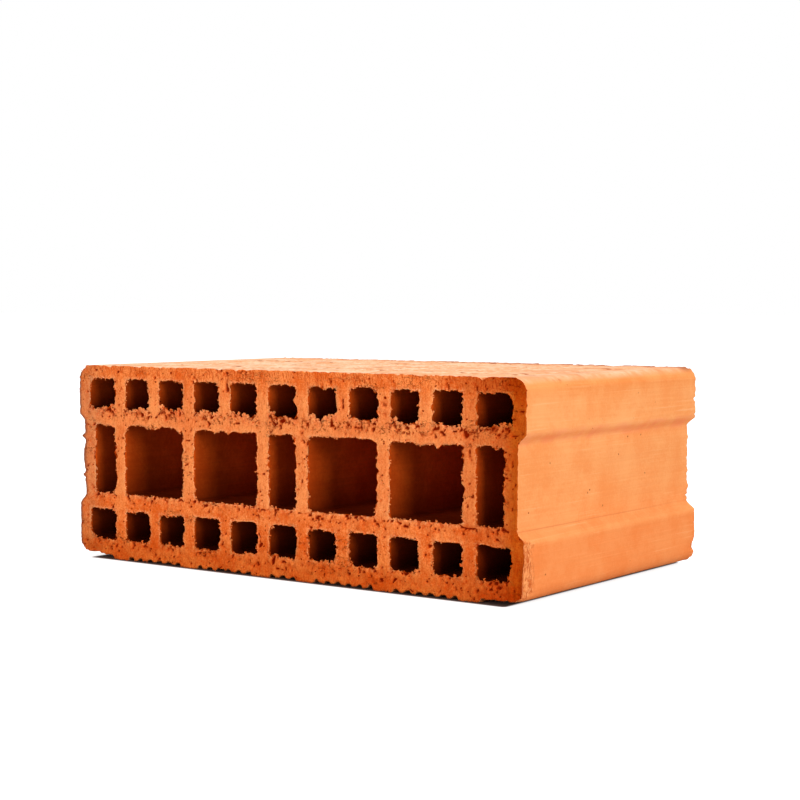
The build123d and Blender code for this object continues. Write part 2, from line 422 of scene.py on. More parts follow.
def cut_relief(x, z, way, distance, seed, cracks):
    """Depth below the cut face's outermost plane, and how much of it is a hole."""
    under_mouth = MOST_CRUMBLY * max(0.0, way[1]) * math.exp(-distance / CRUMBLY_REACH)
    crumbly = min(1.0, LEAST_CRUMBLY + under_mouth + max(0.0, rough(x, z, "crumbly", seed)))
    depth = MEAN_DEPTH + rough(x, z, "swell", seed) + rough(x, z, "wave", seed)
    depth += crumbly * (rough(x, z, "clod", seed) + rough(x, z, "crumb", seed))
    depth += rough(x * COMB_STRETCH, z, "comb", seed)
    hole = crumbly * ramp(depth, 1.0, 1.55) * (1.0 if z > ROWS["middle"][1] else LOW_HOLES)
    pit = rough(x, z, "pit", seed) + PITS_IN_CRUMBS * crumbly - PIT_LEVEL
    if pit > 0:
        depth += min(1.6, 8 * pit)
        hole = max(hole, min(1.0, 5 * pit))
    for start_x, start_z, end_x, end_z, half, deep in cracks:
        if abs(x - start_x) > CRACK_REACH or abs(z - start_z) > CRACK_REACH:
            continue
        off = from_line(x, z + rough(x, z, "wander", seed), start_x, start_z, end_x, end_z)
        share = 1 - ramp(off, half * 0.25, half + 0.45)
        share *= ramp(rough(x, z, "broken", seed), -0.45, 0.10)
        depth += 0.8 * deep * share
        hole = max(hole, share)
    return max(0.0, depth), hole


# %% [markdown]
# Now every vertex moves. On a cut face it gets its relief and follows the rims near it. On a cell's wall the
# lip fades out within a few millimetres, and beyond it only the fine lines of the die's core run on. On the
# outside the edges are chipped, and the skins are almost flat.

# %% The rough body
FRONT_SEED, BACK_SEED = 2.3, 71.9
LIP_DEPTH, RIM_REACH, BITE_SPREAD, ROLL = 1.9, 2.6, 1.8, 0.35
LINE_SEED, WAVE, WEAR, CHIP_LEVEL = 5.0, 0.12, 0.05, 0.45
HOLE_DEPTH, RIM_BAND, LEFT_SHADE_REACH, LEFT_SHADE_DEPTH = 1.2, 0.9, 1.9, 2.0
MIDDLE_FOOT_SHARE = 0.8
# How many crumbs the wire left: anywhere, on the rims, and below the mouths of each row
LOOSE_ANYWHERE, LOOSE_ON_RIM, RIM_HOLD, FALL = 0.02, 0.42, 0.5, 2.4
LOOSE_BELOW = {"high": 1.6, "middle": 0.25, "low": 0.45}

# Burrs that stand out from the edge in the end recess, and the torn corner: x, z, reach along, how far out
FRONT_EDGE = (
    (-165, 75.5, 1.5, 3), (-165, 63, 9, 1.6), (-165, 51, 1.3, 2.2), (-165, 83, 4, 0.8),
    (-165, 47, 3, 0.8), (165, 32, 4.5, -1.7), (165, 21, 7, -2.4), (165, 9, 7, -3), (-152, 2.2, 8, -1.4),
    (-162, 2.2, 5, -0.8), (137, 120, 3, -1), (150, 120, 8, 0.2), (152, 2.2, 9, -0.6),
    (-165, 120, 5.5, -1.3),
)
BACK_EDGE = (
    (165, 78, 1.2, 0.7), (165, 70, 1, 0.6), (165, 57, 1, 0.7), (165, 48, 1.2, 0.9), (165, 12, 3, -1.6),
    (60, 120, 6, -0.8), (110, 120, 4, -0.7), (-40, 120, 5, -0.5),
)

# Each end's seed, lips, edges and cracks. The photo shows no lips or cracks of the far end
ENDS = {-1: (FRONT_SEED, LIPS, FRONT_EDGE, CRACKS), 1: (BACK_SEED, (), BACK_EDGE, ())}


def outer_edge(x, z):
    """The way out of the section, the distance to its outline, and the point there, on the plain grid."""
    gaps = (
        (x + HALF_LENGTH, (-1, 0), (-HALF_LENGTH, z)), (HALF_LENGTH - x, (1, 0), (HALF_LENGTH, z)),
        (z - LAND_HEIGHT, (0, -1), (x, LAND_HEIGHT)), (WALL - z, (0, 1), (x, WALL)),
    )
    gap, way, point = min(gaps, key=lambda entry: entry[0])
    return way, gap, point


def edge_shift(point, seed, edges):
    """How far out the brick's outer edge stands at this point, from chips, burrs and wear."""
    x, z = point
    shift = -WEAR + rough(x, z, "edge", seed) + rough(x, z, "edge wave", seed)
    chip = rough(x, z, "chip", seed) - CHIP_LEVEL
    return with_spots(shift - max(0.0, 5 * chip), x, z, edges)


known = {}


def facts(x, z, end):
    """What does not change along the brick for one point of the grid at one end."""
    key = (round(x, 3), round(z, 3), end)
    if key not in known:
        seed, lips, edges, cracks = ENDS[end]
        cell, way, distance, rim = nearest_rim(x, z)
        on_rim = cell if distance < ON_RIM else None
        hang = lip(cell, way, rim, seed, lips) if distance < RIM_REACH * 2 else 0.0
        out, gap, point = outer_edge(x, z)
        stand = edge_shift(point, seed, edges) if gap < RIM_REACH * 3 else 0.0
        depth, hole = cut_relief(x, z, way, distance, seed, cracks)
        depth *= 1 - 0.6 * fall(gap, 2.0)
        known[key] = (in_section(x, z, on_rim), way, distance, hang, out, gap, stand, depth, hole)
    return known[key]


def row_near(z):
    """The row of cells nearest to this height."""
    return min(ROWS, key=lambda row: max(ROWS[row][0] - z, z - ROWS[row][1]))


def in_box(spot):
    """Keeps a place inside the brick's own box."""
    x, y = (min(half, max(-half, value)) for value, half in zip(spot, (HALF_LENGTH, HALF_COURSE)))
    return Vector((x, y, min(WALL, max(0.0, spot.z))))


perches = []
layers = {name: bm.verts.layers.float.new(name) for name in ("hole", "rim", "torn", "brink", "foot")}
for vert in bm.verts:
    x, y, z = vert.co
    end = -1 if y < 0 else 1
    seed = ENDS[end][0]
    (new_x, new_z), way, distance, hang, out, gap, stand, depth, hole = facts(x, z, end)
    inward = HALF_COURSE - abs(y)
    near_rim = fall(distance, RIM_REACH)
    near_edge = fall(gap, RIM_REACH + max(0.0, -stand))
    fade = fall(inward, LIP_DEPTH)
    torn = fall(inward, LIP_DEPTH + BITE_SPREAD * max(0.0, -stand))
    shift_x = way[0] * hang * near_rim * fade + out[0] * stand * near_edge * torn
    shift_z = way[1] * hang * near_rim * fade + out[1] * stand * near_edge * torn
    if inward > SLIGHT:
        waves = WAVE * noise.noise(Vector((x / 17, y / 40, z / 17)))
        lines = rough(x, z, "line", LINE_SEED) + waves
        side = way if distance < ON_RIM else out
        shift_x += side[0] * lines
        shift_z += side[1] * lines
        new_y = y + end * fade * rough(x, z, "roll", seed + inward)
    else:
        rolled = ROLL * near_rim * math.exp(-distance)
        sunk = max(0.0, -0.5 * stand) * near_edge
        new_y = end * (HALF_COURSE - depth - rolled - sunk)
    if z > ROWS["high"][1]:
        new_z += 0.6 * upper_cut(x) * fade * (z - ROWS["high"][1]) / (WALL - ROWS["high"][1])
    vert[layers["hole"]] = hole * fall(inward, HOLE_DEPTH)
    vert[layers["rim"]] = fall(distance, RIM_BAND) * fall(inward, RIM_BAND)
    vert[layers["torn"]] = ramp(-stand, 0.8, 1.8) * near_edge * torn
    # foot marks how near a point is to its cell's floor, where the cell clay gets painted shade.
    cell = cell_at(x, z)
    share = MIDDLE_FOOT_SHARE if cell and cell[4] == "middle" else 1.0
    vert[layers["foot"]] = share * (cell[3] - z) / (cell[3] - cell[2]) if cell else 0.0
    # brink marks the left end's edge, which the cut clay darkens as painted shade where it rounds away from
    # the light.
    vert[layers["brink"]] = (out[0] < 0) * fall(gap, LEFT_SHADE_REACH) * fall(inward, LEFT_SHADE_DEPTH)
    spot = in_box(Vector((new_x + shift_x, new_y, new_z + shift_z)))
    vert.co = spot
    if inward < SLIGHT and hole < 0.3:
        below = max(0.0, way[1]) * LOOSE_BELOW[row_near(z)] * math.exp(-distance / FALL)
        loose = LOOSE_ANYWHERE + below + LOOSE_ON_RIM * math.exp(-distance / RIM_HOLD)
        perches.append((loose, end, spot))
print(len(known), "points of the section worked out")

# %% [markdown]
# Loose crumbs of clay stuck to the cut faces and baked on, most of them along the lower sides of the mouths,
# where the wire pushed them. Each is a small lump with a rough skin, sunk into the clay.

# %% Crumbs
BATCH = 40
CRUMB_SIZES, LOOSE_GROWTH, FULL_TURN = (0.22, 0.42), 0.5, 6.28
STRETCHES = ((0.8, 1.6), (0.6, 0.9), (0.7, 1.1))
STRAY, SUNK, LUMP_HEIGHT, LUMP_SCALE = (0.5, 0.4), 0.2, 1.2, 2.2


def lay_crumbs(count, end, seed):
    """Lumps of clay on one cut face, made in small batches and joined into one mesh."""
    random.seed(seed)
    crumbs = bmesh.new()
    places = [perch for perch in perches if perch[1] == end]
    chosen = random.choices(places, weights=[perch[0] for perch in places], k=count)
    for first in range(0, count, BATCH):
        batch = bmesh.new()
        for number, (loose, _, middle) in enumerate(chosen[first:first + BATCH]):
            size = random.uniform(*CRUMB_SIZES) + LOOSE_GROWTH * loose * random.random() ** 3
            turn = random.uniform(0, FULL_TURN)
            spin = Matrix.Rotation(turn, 3, Vector((random.random(), random.random(), 1.0)))
            stretch = Vector([random.uniform(*limits) for limits in STRETCHES])
            along, up = (random.uniform(-stray, stray) for stray in STRAY)
            middle = middle + Vector((along, -end * SUNK * size, up))
            for point in bmesh.ops.create_icosphere(batch, subdivisions=2, radius=1.0)["verts"]:
                lump = 1 + LUMP_HEIGHT * noise.noise(point.co * LUMP_SCALE + Vector((first + number, 0, 0)))
                point.co = in_box(middle + spin @ (point.co * stretch * size * lump))
        mesh = bpy.data.meshes.new("batch")
        batch.to_mesh(mesh)
        batch.free()
        crumbs.from_mesh(mesh)
        bpy.data.meshes.remove(mesh)
    print(count, "crumbs, for", len(places), "places")
    return crumbs


crumbs_of_front = lay_crumbs(count=2450, end=-1, seed=11)
crumbs_of_back = lay_crumbs(count=1500, end=1, seed=12)

# %% [markdown]
# The body becomes a piece of the scene in metres, and takes the place of the CAD model's plain brick.

# %% The body as an object


def new_object(name, data):
    """Puts a new object in the scene."""
    made = bpy.data.objects.new(name, data)
    bpy.context.collection.objects.link(made)
    return made


def finish_piece(bm, name, materials, body="root"):
    """Brings a millimetre mesh to metres and makes it a piece that rides with the brick."""
    bmesh.ops.scale(bm, vec=(MM, MM, MM), verts=bm.verts)
    mesh = bpy.data.meshes.new(name)
    bm.to_mesh(mesh)
    bm.free()
    for material in materials:
        mesh.materials.append(material)
    piece = new_object(name, mesh)
    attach(piece, body)
    mesh.calc_loop_triangles()
    print(name, len(mesh.loop_triangles), "triangles")
    return piece


clay_names = ("cut_clay", "skin_clay", "cell_clay", "crumb_clay")
cut_clay, skin_clay, cell_clay, crumb_clay = (bpy.data.materials.new(name) for name in clay_names)
body = finish_piece(bm, "brick_body", (cut_clay, skin_clay, cell_clay))
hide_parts("hollow_brick")

# %% [markdown]
# The finish is one fired clay in three states: open, grainy and painted deeper on the cut faces, a painted
# shade for their rough grain, smooth and paler on the skins, and in the dark inside the cells. Shared node
# groups make the patches, the grit pits, the tears and the drawn lines, and each material mixes them with its
# own colours.

# %% Node helpers


def feed(socket, value):
    """Gives a shader socket a constant, or a link from another node's socket."""
    if isinstance(value, bpy.types.NodeSocket):
        socket.id_data.links.new(value, socket)
    else:
        socket.default_value = value


def add(tree, kind, values=None, **options):
    """Adds a shader node, sets its options and feeds its inputs."""
    node = tree.nodes.new("ShaderNode" + kind)
    for option, value in options.items():
        setattr(node, option, value)
    for socket, value in (values or {}).items():
        feed(node.inputs[socket], value)
    return node


def tree_of(values):
    """The node tree that the sockets among these values are in."""
    return next(value.id_data for value in values if isinstance(value, bpy.types.NodeSocket))


def calc(operation, *values):
    """Adds a Math node and gives its result."""
    return add(tree_of(values), "Math", dict(enumerate(values)), operation=operation).outputs[0]


def product(first, second):
    """Multiplies two values."""
    return calc("MULTIPLY", first, second)


def apart(value, level):
    """How far a value is from a level, either way."""
    return calc("ABSOLUTE", calc("SUBTRACT", value, level))


def vector_calc(operation, *values):
    """Adds a Vector Math node and gives its result."""
    return add(tree_of(values), "VectorMath", dict(enumerate(values)), operation=operation).outputs[0]


def mix(factor, first, second, blend="MIX"):
    """Mixes two colours and gives the result."""
    values = {0: factor, 6: first, 7: second}
    return add(tree_of(values.values()), "Mix", values, data_type="RGBA", blend_type=blend).outputs[2]


def blend_values(factor, first, second):
    """Mixes two values and gives the result."""
    values = {0: factor, 2: first, 3: second}
    return add(tree_of(values.values()), "Mix", values, data_type="FLOAT").outputs[0]


def remap(value, low, high, to_low=0.0, to_high=1.0):
    """Maps a value smoothly from one range to another and gives the result."""
    ranges = {"Value": value, "From Min": low, "From Max": high, "To Min": to_low, "To Max": to_high}
    return add(value.id_data, "MapRange", ranges, interpolation_type="SMOOTHSTEP").outputs["Result"]


def clouds(place, scale, detail, roughness=0.5):
    """Adds a Noise texture and gives its value."""
    values = {"Vector": place, "Scale": scale, "Detail": detail, "Roughness": roughness}
    return add(place.id_data, "TexNoise", values).outputs[0]


def object_place(tree):
    """The place on the piece in metres, which the brick carries with it."""
    return add(tree, "TexCoord").outputs["Object"]


def start_group(name, inputs, outputs):
    """A node group whose inputs have these values at first, and the sockets of its two end nodes."""
    group = bpy.data.node_groups.new(name, "ShaderNodeTree")
    for socket, value in inputs.items():
        kind = "Float" if isinstance(value, float) else {3: "Vector", 4: "Color"}[len(value)]
        entry = group.interface.new_socket(socket, in_out="INPUT", socket_type="NodeSocket" + kind)
        entry.default_value = value
    for socket in outputs:
        kind = "Color" if socket == "Color" else "Float"
        group.interface.new_socket(socket, in_out="OUTPUT", socket_type="NodeSocket" + kind)
    return group, group.nodes.new("NodeGroupInput").outputs, group.nodes.new("NodeGroupOutput").inputs


# %% [markdown]
# Fired clay is never one colour: iron and heat leave soft patches, and the grain shows between them. This
# group mixes a pale and a deep clay by broad clouds and fine grain, and hands on the grain for the relief.

# %% Clay patches
patches, given, result = start_group("clay_patches", {
    "Pale": (1, 0.4, 0.2, 1), "Dark": (0.5, 0.1, 0.02, 1), "Patch Scale": 60.0, "Grain Scale": 900.0,
    "Grain Share": 0.5,
}, ("Color", "Grain"))
place = object_place(patches)
broad = clouds(place, given["Patch Scale"], 3.0, 0.6)
grain = clouds(place, given["Grain Scale"], 3.0, 0.7)
share = remap(blend_values(given["Grain Share"], broad, grain), 0.36, 0.64)
feed(result["Color"], mix(share, given["Dark"], given["Pale"]))
feed(result["Grain"], grain)
print(patches.name, len(patches.nodes), "nodes")

# %% [markdown]
# Grit that fell out leaves small pits: a share of the spots of a Voronoi texture, bent out of round by noise
# and crowded together in some places. A wider ring round each lets the clay go red before it goes dark.

# %% Grit pits
BEND = 0.0016
FLOOR_SHARE, RING_SHARE = 0.6, 1.7
grit, given, result = start_group("grit_pits", {
    "Scale": 350.0, "Share": 0.2, "Size": 0.3, "Stretch": (1, 1, 1),
}, ("Pits", "Rings"))
place = vector_calc("MULTIPLY", object_place(grit), given["Stretch"])
bend = add(grit, "TexNoise", {"Vector": place, "Scale": 700.0, "Detail": 2.0}).outputs["Color"]
bent = vector_calc("MULTIPLY_ADD", bend, (BEND, BEND, BEND), place)
spots = add(grit, "TexVoronoi", {"Vector": bent, "Scale": given["Scale"]}).outputs
near = remap(spots["Distance"], given["Size"], product(given["Size"], FLOOR_SHARE))
ring = remap(spots["Distance"], product(given["Size"], RING_SHARE), given["Size"])
chance = add(grit, "SeparateColor", {"Color": spots["Color"]}).outputs[0]
crowd = remap(clouds(place, 85.0, 1.0), 0.42, 0.66, 0.15, 2.6)
some = calc("LESS_THAN", chance, product(given["Share"], crowd))
feed(result["Pits"], product(near, some))
feed(result["Rings"], product(ring, some))
print(grit.name, len(grit.nodes), "nodes")

# %% [markdown]
# Fine tears open in the cut face as it dries. They run where a noise crosses its middle value, and only
# here and there, so they stay short.

# %% Fine tears
tears, given, result = start_group("fine_tears", {
    "Scale": 160.0, "Width": 0.012, "Stretch": (0.6, 1.0, 1.4),
}, ("Tears",))
place = vector_calc("MULTIPLY", object_place(tears), given["Stretch"])
off = apart(clouds(place, given["Scale"], 4.0, 0.65), 0.5)
line = remap(off, given["Width"], 0.0)
there = remap(clouds(place, 60.0, 1.0), 0.60, 0.68)
feed(result["Tears"], product(line, there))
print(tears.name, len(tears.nodes), "nodes")

# %% [markdown]
# The die draws lines along the clay: two noises stretched the way it ran, a coarse one and a fine one.

# %% Drawn lines
FINE_SHARE = 0.4
lines, given, result = start_group("drawn_lines", {
    "Across": (900.0, 15.0, 900.0), "Fine Across": (2600.0, 30.0, 2600.0),
}, ("Lines",))
place = object_place(lines)
coarse, fine = (clouds(vector_calc("MULTIPLY", place, given[name]), 1.0, 2.0)
                for name in ("Across", "Fine Across"))
feed(result["Lines"], blend_values(FINE_SHARE, coarse, fine))
print(lines.name, len(lines.nodes), "nodes")

# %% [markdown]
# Each clay material starts from the same dull shader and reads what the mesh carries: holes, the rims that
# get a painted highlight, the torn corner, and the feet of the walls and the brink of the left end, which get
# painted shade.

# %% What every clay material shares


def clay(material, shine=0.0):
    """Readies a material for clay: its tree, its shader's inputs, the place on the piece and x, y, z."""
    material.use_nodes = True
    tree = material.node_tree
    inputs = tree.nodes["Principled BSDF"].inputs
    inputs["Roughness"].default_value = 0.95
    inputs["Specular IOR Level"].default_value = shine
    place = object_place(tree)
    return tree, inputs, place, add(tree, "SeparateXYZ", {0: place}).outputs


def use(tree, group, **values):
    """Adds one of the shared groups to a material and gives its outputs."""
    named = {name.replace("_", " ").title(): value for name, value in values.items()}
    return add(tree, "Group", named, node_tree=group).outputs


def carried(tree, name):
    """A value that the mesh carries at each of its points."""
    return add(tree, "Attribute", attribute_name=name, attribute_type="GEOMETRY").outputs["Fac"]


def tinted(share, tone, tint):
    """Tones a colour down by a tint where share is 1."""
    return mix(share, tone, mix(1.0, tone, tint, "MULTIPLY"))


def relief(inputs, height, strength, depth):
    """Gives the shader a bump of this strength and depth."""
    bump = add(height.id_data, "Bump", {"Height": height, "Strength": strength, "Distance": depth})
    feed(inputs["Normal"], bump.outputs[0])


def upward(tree):
    """How far the surface faces up, from -1 to 1."""
    return add(tree, "SeparateXYZ", {0: add(tree, "TexCoord").outputs["Normal"]}).outputs[2]


# %% [markdown]
# The cut clay is open and grainy. Its rims and the middle band are painted paler, a painted highlight, and it
# is painted deeper towards the foot and at the left end, a painted shade, and deeper towards the right end.
# Chalky and burnt specks lie in it, most of them along the rims, and painted shade darkens the gaps between
# the crumbs under the upper cells. The dark red streaks the wire dragged near the top edge are partly painted
# shade of their grooves. Pits and tears go dark red, as the light doesn't reach their floors. The crumbs are
# the same clay, a little paler, a painted highlight.

# %% Cut clay, open and grainy
RIM_AND_BAND_HIGHLIGHT, CHALK, DRAGGED_STREAK_AND_SHADE = (1.0, 0.38, 0.13, 1), (1.0, 0.6, 0.38, 1), (0.62, 0.075, 0.008, 1)
BURNT, CRUMB_GAP_SHADE, LEFT_BRINK_SHADE = (0.45, 0.042, 0.003, 1), (0.3, 0.022, 0.002, 1), (0.26, 0.075, 0.035, 1)
PIT_RING, PIT_FLOOR = (0.7, 0.075, 0.005, 1), (0.22, 0.01, 0.0, 1)
TOP_CORNER_TINT = (0.8, 0.66, 0.5, 1)
CRUMB_BAND = 0.09

# Both clays are painted deeper than the skin clay, a painted shade for their rough grain.
for material, pale, deep in ((cut_clay, (1.0, 0.29, 0.074, 1), (0.8, 0.12, 0.012, 1)),
                             # The crumbs' paler clay is a painted highlight on them.
                             (crumb_clay, (1.0, 0.37, 0.13, 1), (0.84, 0.15, 0.022, 1))):
    tree, inputs, place, (x, y, z) = clay(material)
    hole, rim = carried(tree, "hole"), carried(tree, "rim")
    base = use(tree, patches, pale=pale, dark=deep, patch_scale=70.0, grain_scale=900.0, grain_share=0.5)
    dark = calc("MAXIMUM", remap(hole, 0.35, 0.85), use(tree, tears)["Tears"])
    red = remap(hole, 0.05, 0.5)
    for scale, share, size in ((750.0, 0.025, 0.42), (430.0, 0.016, 0.34)):
        pits = use(tree, grit, scale=scale, share=share, size=size)
        dark = calc("MAXIMUM", dark, pits["Pits"])
        red = calc("MAXIMUM", red, pits["Rings"])
    # Painted highlight: the middle band is painted paler than the foot, where more light falls.
    tone = mix(remap(z, 0.036, 0.044, 0.0, 0.32), base["Color"], RIM_AND_BAND_HIGHLIGHT)
    tone = mix(remap(z, 0.1, 0.113), tone, base["Color"])
    # Dark red streaks the wire dragged near the top edge, partly painted shade of their grooves.
    dragged = use(tree, lines, across=(1300.0, 300.0, 240.0), fine_across=(2600.0, 600.0, 700.0))["Lines"]
    streaks = product(remap(z, 0.108, 0.115, 0.4, 0.95), remap(dragged, 0.5, 0.62))
    tone = mix(streaks, tone, DRAGGED_STREAK_AND_SHADE)
    # Painted highlight on the rims, whose rounded edges catch the light.
    tone = mix(product(rim, remap(base["Grain"], 0.3, 0.6)), tone, RIM_AND_BAND_HIGHLIGHT)
    speck = clouds(place, 1500.0, 2.0, 0.8)
    chalky = product(remap(speck, 0.59, 0.68), remap(rim, 0.0, 1.0, 0.12, 0.9))
    tone = mix(chalky, tone, CHALK)
    # Painted shade towards the foot and at the left end, where less light falls; towards the right end the
    # clay is darker.
    for part, near, far, tint in (
        (z, 0.031, 0.001, (0.8, 0.62, 0.38, 1)), (x, 0.108, 0.146, (0.76, 0.6, 0.46, 1)),
        (x, 0.146, 0.158, (0.76, 0.6, 0.22, 1)), (x, -0.138, -0.158, (0.82, 0.86, 1, 1)),
    ):
        tone = tinted(remap(part, near, far), tone, tint)
    top_corner = product(remap(z, 0.108, 0.116), remap(x, 0.105, 0.14))
    tone = tinted(top_corner, tone, TOP_CORNER_TINT)
    # Painted shade along the brink of the left end, where its edge rounds away from the light.
    tone = mix(remap(carried(tree, "brink"), 0.1, 0.9, 0.0, 0.8), tone, LEFT_BRINK_SHADE)
    rough_here = calc("MAXIMUM", rim, remap(z, 0.113, 0.118))
    burnt = product(remap(speck, 0.43, 0.35), remap(rough_here, 0.0, 1.0, 0.4, 0.85))
    tone = mix(burnt, tone, BURNT)
    # Painted shade in the gaps between the crumbs under the upper cells.
    crumbled = remap(apart(z, CRUMB_BAND), 0.0042, 0.0022)
    crumbled = product(crumbled, remap(clouds(place, 130.0, 2.0, 0.6), 0.45, 0.58))
    gaps = product(crumbled, remap(clouds(place, 560.0, 3.0, 0.7), 0.47, 0.41))
    tone = mix(product(gaps, 0.85), tone, CRUMB_GAP_SHADE)
    tone = mix(product(red, 0.5), tone, PIT_RING)
    tone = mix(dark, tone, PIT_FLOOR)
    feed(inputs["Base Color"], tone)
    relief(inputs, calc("SUBTRACT", base["Grain"], calc("MAXIMUM", dark, gaps)), 0.8, 0.0006)
    print(material.name, len(tree.nodes), "nodes")

# %% [markdown]
# The ends, the underside and the top are skin clay, which the die pressed smooth: it is pale, even and finely
# lined. The upper flank of each recess is blotched rosy, and a fine dark line of painted shade runs along the
# crease at the foot of its floor.

# %% Skin clay, pressed smooth by the die
DARK_LINE, PALE_LINE = (0.8, 0.22, 0.06, 1), (1.0, 0.56, 0.27, 1)
CREASE_SHADE, ROSE, SPECK = (0.72, 0.17, 0.045, 1), (0.94, 0.25, 0.13, 1), (0.45, 0.09, 0.02, 1)
LOWER_TINT, FOOT_TINT = (0.99, 0.9, 0.84, 1), (0.98, 0.84, 0.76, 1)
CREASE_HEIGHT, UPPER_FLANK_HEIGHT = 0.0392, 0.0878

tree, inputs, place, (x, y, z) = clay(skin_clay, 0.1)
base = use(tree, patches, pale=(1.0, 0.425, 0.152, 1), dark=(0.96, 0.335, 0.098, 1), patch_scale=40.0,
           grain_scale=700.0, grain_share=0.35)["Color"]
drawn = use(tree, lines)["Lines"]
tone = tinted(remap(z, 0.09, 0.035), base, LOWER_TINT)
tone = tinted(remap(z, 0.0345, 0.03), tone, FOOT_TINT)
tone = mix(remap(drawn, 0.62, 0.38, 0.0, 0.14), tone, DARK_LINE)
tone = mix(remap(drawn, 0.59, 0.71, 0.0, 0.36), tone, PALE_LINE)
# Painted shade along the crease at the foot of each recess floor.
crease = remap(apart(z, CREASE_HEIGHT), 0.0007, 0.0001)
crease = product(crease, remap(drawn, 0.4, 0.58, 0.06, 0.5))
tone = mix(crease, tone, CREASE_SHADE)
flank = remap(apart(z, UPPER_FLANK_HEIGHT), 0.005, 0.0024)
blotch = remap(clouds(place, 75.0, 4.0, 0.7), 0.4, 0.62, 0.03, 0.32)
tone = mix(product(flank, blotch), tone, ROSE)
tone = mix(use(tree, grit, scale=200.0, share=0.03, size=0.15)["Pits"], tone, SPECK)
print(skin_clay.name, len(tree.nodes), "nodes for the ends and the underside")

# %% [markdown]
# The top is painted paler still, a painted sheen for the strong light from above, and the rounded shoulder
# below it is painted a little darker, a painted shade. Streaks run along the top, partly painted shade of its
# ribs and partly dirt, and dark spots lie in four bands across it where the brick stood on others in the
# kiln. It is rosier towards the back. The torn corner shows open clay under the skin.

# %% The top with a painted sheen, and the torn corner
BACK_ROSE, RIGHT_ROSE, TOP_RIB_SHADE_AND_DIRT = (0.8, 0.33, 0.15, 1), (0.9, 0.38, 0.18, 1), (0.68, 0.26, 0.1, 1)
BACK_BRINK, DARK_SPOT, TORN_LINE = (0.42, 0.13, 0.05, 1), (0.46, 0.13, 0.045, 1), (0.55, 0.085, 0.014, 1)
SHOULDER_SHADE_TINT = (0.95, 0.85, 0.74, 1)
SCUFFED_BANDS = (-0.057, -0.018, 0.034, 0.08)

# The top's colours are painted pale, a painted sheen for the strong light from above.
upper = use(tree, patches, pale=(0.94, 0.65, 0.43, 1), dark=(0.86, 0.36, 0.16, 1), patch_scale=65.0,
            grain_scale=300.0, grain_share=0.4)["Color"]
upper = mix(remap(y, 0.05, 0.09, 0.0, 0.35), upper, BACK_ROSE)
upper = mix(remap(x, 0.02, 0.15, 0.0, 0.4), upper, RIGHT_ROSE)
# Streaks along the top, partly painted shade of the ribs and partly dirt.
streaks = use(tree, lines, across=(12.0, 85.0, 1.0), fine_across=(40.0, 170.0, 1.0))["Lines"]
upper = mix(remap(streaks, 0.52, 0.62, 0.0, 0.65), upper, TOP_RIB_SHADE_AND_DIRT)
brink = product(remap(y, 0.078, 0.09), remap(x, -0.14, 0.06, 0.2, 0.9))
upper = mix(brink, upper, BACK_BRINK)
dashes = use(tree, grit, scale=190.0, share=0.72, size=0.42, stretch=(0.55, 0.5, 0.1))["Pits"]
dashes = product(dashes, remap(streaks, 0.44, 0.52, 0.35, 1.0))
scuffed = 0.0
for band_middle in SCUFFED_BANDS:
    scuffed = calc("MAXIMUM", scuffed, remap(apart(y, band_middle), 0.012, 0.004))
upper = mix(product(dashes, scuffed), upper, DARK_SPOT)
# Painted shade on the rounded shoulder under the top, which catches the light from above.
tone = tinted(remap(z, 0.104, 0.115), tone, SHOULDER_SHADE_TINT)
on_top = product(remap(upward(tree), 0.4, 1.0), remap(z, 0.1115, 0.1195))
tone = mix(on_top, tone, upper)
broken = carried(tree, "torn")
open_clay = use(tree, patches, pale=(1.0, 0.4, 0.14, 1), dark=(0.74, 0.17, 0.035, 1), patch_scale=280.0,
                grain_scale=700.0, grain_share=0.4)["Color"]
strokes = use(tree, lines, across=(500.0, 800.0, 170.0), fine_across=(1500.0, 2400.0, 420.0))["Lines"]
tone = mix(remap(broken, 0.15, 0.5), tone, open_clay)
thin = product(remap(broken, 0.12, 0.4), remap(strokes, 0.52, 0.44, 0.0, 0.75))
tone = mix(thin, tone, TORN_LINE)
feed(inputs["Base Color"], tone)
strength = remap(broken, 0.1, 0.5, 0.22, 0.9)
relief(inputs, blend_values(broken, drawn, strokes), strength, 0.0008)
print(skin_clay.name, len(tree.nodes), "nodes in all")

# %% [markdown]
# Inside the cells the walls are smooth and deep red. Painted shade makes them duller near the mouths and
# darkest at their feet and on their floors, and they are darker towards the low row and the right end.

# %% The cells' walls, the same clay in the dark
DEEP_LINE, CELL_FLOOR_SHADE, LIP = (0.3, 0.04, 0.005, 1), (0.08, 0.008, 0.001, 1), (0.6, 0.07, 0.004, 1)
MOUTH_SHADE_TINT, LOW_ROW_TINT = (0.59, 0.54, 0.43, 1), (0.54, 0.48, 0.4, 1)
RIGHT_TINT, WALL_FOOT_SHADE_TINT = (0.8, 0.72, 0.66, 1), (0.36, 0.27, 0.25, 1)
MIDDLE_ROW_HEIGHT = 0.0619

tree, inputs, place, (x, y, z) = clay(cell_clay)
base = use(tree, patches, pale=(0.94, 0.145, 0.018, 1), dark=(0.74, 0.096, 0.01, 1), patch_scale=60.0,
           grain_scale=500.0, grain_share=0.4)["Color"]
drawn = use(tree, lines, across=(500.0, 8.0, 500.0), fine_across=(1500.0, 20.0, 1500.0))["Lines"]
tone = mix(remap(drawn, 0.6, 0.38, 0.0, 0.12), base, DEEP_LINE)
